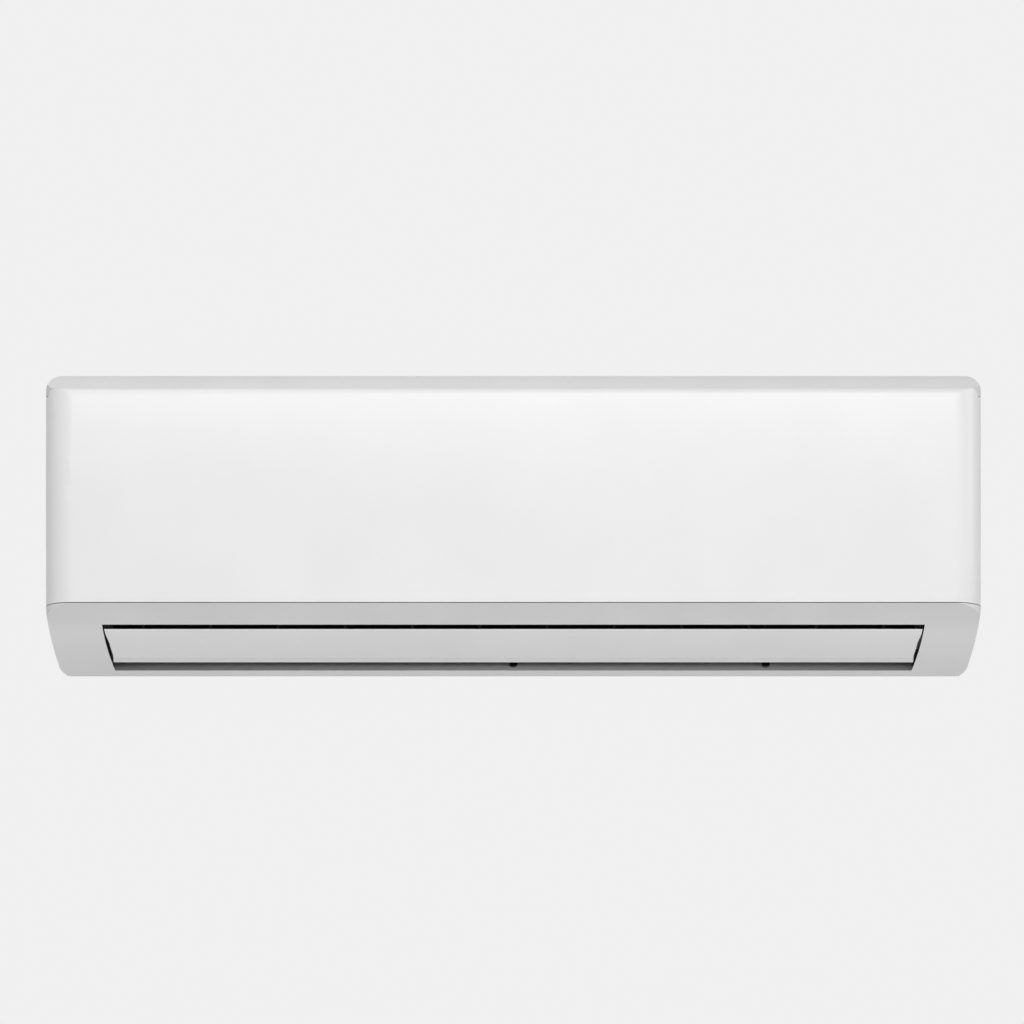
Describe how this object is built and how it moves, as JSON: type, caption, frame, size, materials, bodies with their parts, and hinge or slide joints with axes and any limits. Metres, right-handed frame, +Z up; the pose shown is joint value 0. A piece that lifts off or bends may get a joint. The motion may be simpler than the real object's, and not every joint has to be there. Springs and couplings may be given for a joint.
{
  "type": "mini split indoor unit",
  "caption": "Wall-hung air conditioner indoor unit: hinged front panel over filters and coil, cross-flow fan, swinging outlet flap and linked guide vanes, on a steel wall plate.",
  "frame": {"origin": "middle of the wall plate's four-screw pattern, on the wall plane", "axes": "+X to the right seen from the front along the long side, +Y into the wall, +Z up"},
  "size_m": [0.94, 0.2119, 0.303],
  "materials": {
    "panel_plastic": "satin",
    "casing_plastic": "satin",
    "flap_plastic": "satin",
    "button_plastic": "satin",
    "duct_plastic": "matte",
    "vane_plastic": "matte",
    "chassis_plastic": "matte",
    "fan_plastic": "satin",
    "filter_plastic": "matte",
    "mesh": "matte",
    "motor_shell": "satin",
    "steel": "brushed",
    "dark_steel": "brushed",
    "zinc_plate": "satin",
    "fins": "satin",
    "copper": "satin",
    "brass": "satin",
    "rubber": "matte",
    "circuit_board": "satin",
    "components": "satin",
    "terminal_plastic": "matte"
  },
  "bodies": {
    "unit": {"air_duct": "duct_plastic", "air_sensor": "copper", "board_parts": "components", "chassis": "chassis_plastic", "coil_end_left": "zinc_plate", "coil_end_right": "zinc_plate", "coil_front": "fins", "coil_rear": "fins", "coil_upper": "fins", "control_board": "circuit_board", "cover_screw": "steel", "display_board": "circuit_board", "drain_tray": "duct_plastic", "ebox": "chassis_plastic", "ebox_cover": "zinc_plate", "fan_bearing": "rubber", "fan_motor": "motor_shell", "flap_brackets": "duct_plastic", "flap_motor": "motor_shell", "flare_unions": "brass", "foot_screws": "steel", "front_frame": "casing_plastic", "gas_pipe": "copper", "lip_screws": "dark_steel", "liquid_pipe": "copper", "motor_clamp": "chassis_plastic", "motor_mounts": "rubber", "return_bends": "copper", "screw_caps": "casing_plastic", "sensor_clip": "duct_plastic", "terminal_block": "terminal_plastic", "top_grille": "casing_plastic", "vane_rail_left": "duct_plastic", "vane_rail_right": "duct_plastic", "wall_plate": "zinc_plate", "wiring_cover": "casing_plastic"},
    "front_panel": {"front_panel": "panel_plastic"},
    "flap": {"flap": "flap_plastic"},
    "fan": {"fan_rotor": "fan_plastic", "fan_shaft": "steel"},
    "manual_button": {"manual_button": "button_plastic"},
    "left_filter": {"filter_left": "filter_plastic", "mesh_left": "mesh"},
    "right_filter": {"filter_right": "filter_plastic", "mesh_right": "mesh"},
    "vane_01": {"vane_01": "vane_plastic"},
    "vane_02": {"vane_02": "vane_plastic"},
    "vane_03": {"vane_03": "vane_plastic"},
    "vane_04": {"vane_04": "vane_plastic"},
    "vane_05": {"vane_05": "vane_plastic"},
    "vane_06": {"vane_06": "vane_plastic"},
    "vane_07": {"vane_07": "vane_plastic"},
    "vane_08": {"vane_08": "vane_plastic"},
    "vane_09": {"vane_09": "vane_plastic"},
    "vane_10": {"vane_10": "vane_plastic"},
    "vane_11": {"vane_11": "vane_plastic"},
    "vane_12": {"vane_12": "vane_plastic"},
    "left_link": {"link_bar_left": "vane_plastic"},
    "right_link": {"link_bar_right": "vane_plastic"}
  },
  "joints": [
    {"name": "front_panel_hinge", "type": "hinge", "parent": "unit", "child": "front_panel", "pos_m": [0, -0.19976, 0.1325], "axis": [-1, 0, 0], "range_deg": [0, 60]},
    {"name": "flap_hinge", "type": "hinge", "parent": "unit", "child": "flap", "pos_m": [0, -0.13132, -0.11706], "axis": [1, 0, 0], "range_deg": [0, 80]},
    {"name": "fan_spin", "type": "hinge", "parent": "unit", "child": "fan", "pos_m": [0, -0.084, -0.008], "axis": [1, 0, 0], "continuous": true},
    {"name": "manual_button_press", "type": "slide", "parent": "unit", "child": "manual_button", "axis": [0, 1, 0], "range_m": [0, 0.001], "stiffness_N_per_m": 300, "springref_m": -0.0005},
    {"name": "left_filter_lift", "type": "slide", "parent": "unit", "child": "left_filter", "axis": [0, 0, 1], "range_m": [0, 0.008]},
    {"name": "right_filter_lift", "type": "slide", "parent": "unit", "child": "right_filter", "axis": [0, 0, 1], "range_m": [0, 0.008]},
    {"name": "vane_01_swing", "type": "hinge", "parent": "unit", "child": "vane_01", "pos_m": [-0.374, -0.0715, -0.1125], "axis": [0, -0.7071, 0.7071], "range_deg": [-35, 35]},
    {"name": "vane_02_swing", "type": "hinge", "parent": "unit", "child": "vane_02", "pos_m": [-0.306, -0.0715, -0.1125], "axis": [0, -0.7071, 0.7071], "range_deg": [-35, 35]},
    {"name": "vane_03_swing", "type": "hinge", "parent": "unit", "child": "vane_03", "pos_m": [-0.238, -0.0715, -0.1125], "axis": [0, -0.7071, 0.7071], "range_deg": [-35, 35]},
    {"name": "vane_04_swing", "type": "hinge", "parent": "unit", "child": "vane_04", "pos_m": [-0.17, -0.0715, -0.1125], "axis": [0, -0.7071, 0.7071], "range_deg": [-35, 35]},
    {"name": "vane_05_swing", "type": "hinge", "parent": "unit", "child": "vane_05", "pos_m": [-0.102, -0.0715, -0.1125], "axis": [0, -0.7071, 0.7071], "range_deg": [-35, 35]},
    {"name": "vane_06_swing", "type": "hinge", "parent": "unit", "child": "vane_06", "pos_m": [-0.034, -0.0715, -0.1125], "axis": [0, -0.7071, 0.7071], "range_deg": [-35, 35]},
    {"name": "vane_07_swing", "type": "hinge", "parent": "unit", "child": "vane_07", "pos_m": [0.034, -0.0715, -0.1125], "axis": [0, -0.7071, 0.7071], "range_deg": [-35, 35]},
    {"name": "vane_08_swing", "type": "hinge", "parent": "unit", "child": "vane_08", "pos_m": [0.102, -0.0715, -0.1125], "axis": [0, -0.7071, 0.7071], "range_deg": [-35, 35]},
    {"name": "vane_09_swing", "type": "hinge", "parent": "unit", "child": "vane_09", "pos_m": [0.17, -0.0715, -0.1125], "axis": [0, -0.7071, 0.7071], "range_deg": [-35, 35]},
    {"name": "vane_10_swing", "type": "hinge", "parent": "unit", "child": "vane_10", "pos_m": [0.238, -0.0715, -0.1125], "axis": [0, -0.7071, 0.7071], "range_deg": [-35, 35]},
    {"name": "vane_11_swing", "type": "hinge", "parent": "unit", "child": "vane_11", "pos_m": [0.306, -0.0715, -0.1125], "axis": [0, -0.7071, 0.7071], "range_deg": [-35, 35]},
    {"name": "vane_12_swing", "type": "hinge", "parent": "unit", "child": "vane_12", "pos_m": [0.374, -0.0715, -0.1125], "axis": [0, -0.7071, 0.7071], "range_deg": [-35, 35]},
    {"name": "left_link_pivot", "type": "hinge", "parent": "vane_01", "child": "left_link", "pos_m": [-0.374, -0.06019, -0.10119], "axis": [0, -0.7071, 0.7071], "range_deg": [-35, 35]},
    {"name": "right_link_pivot", "type": "hinge", "parent": "vane_07", "child": "right_link", "pos_m": [0.034, -0.06019, -0.10119], "axis": [0, -0.7071, 0.7071], "range_deg": [-35, 35]}
  ],
  "couplings": [
    {"joint": "vane_02_swing", "follows": "vane_01_swing", "ratio": 1},
    {"joint": "vane_03_swing", "follows": "vane_01_swing", "ratio": 1},
    {"joint": "vane_04_swing", "follows": "vane_01_swing", "ratio": 1},
    {"joint": "vane_05_swing", "follows": "vane_01_swing", "ratio": 1},
    {"joint": "vane_06_swing", "follows": "vane_01_swing", "ratio": 1},
    {"joint": "vane_08_swing", "follows": "vane_07_swing", "ratio": 1},
    {"joint": "vane_09_swing", "follows": "vane_07_swing", "ratio": 1},
    {"joint": "vane_10_swing", "follows": "vane_07_swing", "ratio": 1},
    {"joint": "vane_11_swing", "follows": "vane_07_swing", "ratio": 1},
    {"joint": "vane_12_swing", "follows": "vane_07_swing", "ratio": 1},
    {"joint": "left_link_pivot", "follows": "vane_01_swing", "ratio": -1},
    {"joint": "right_link_pivot", "follows": "vane_07_swing", "ratio": -1}
  ]
}
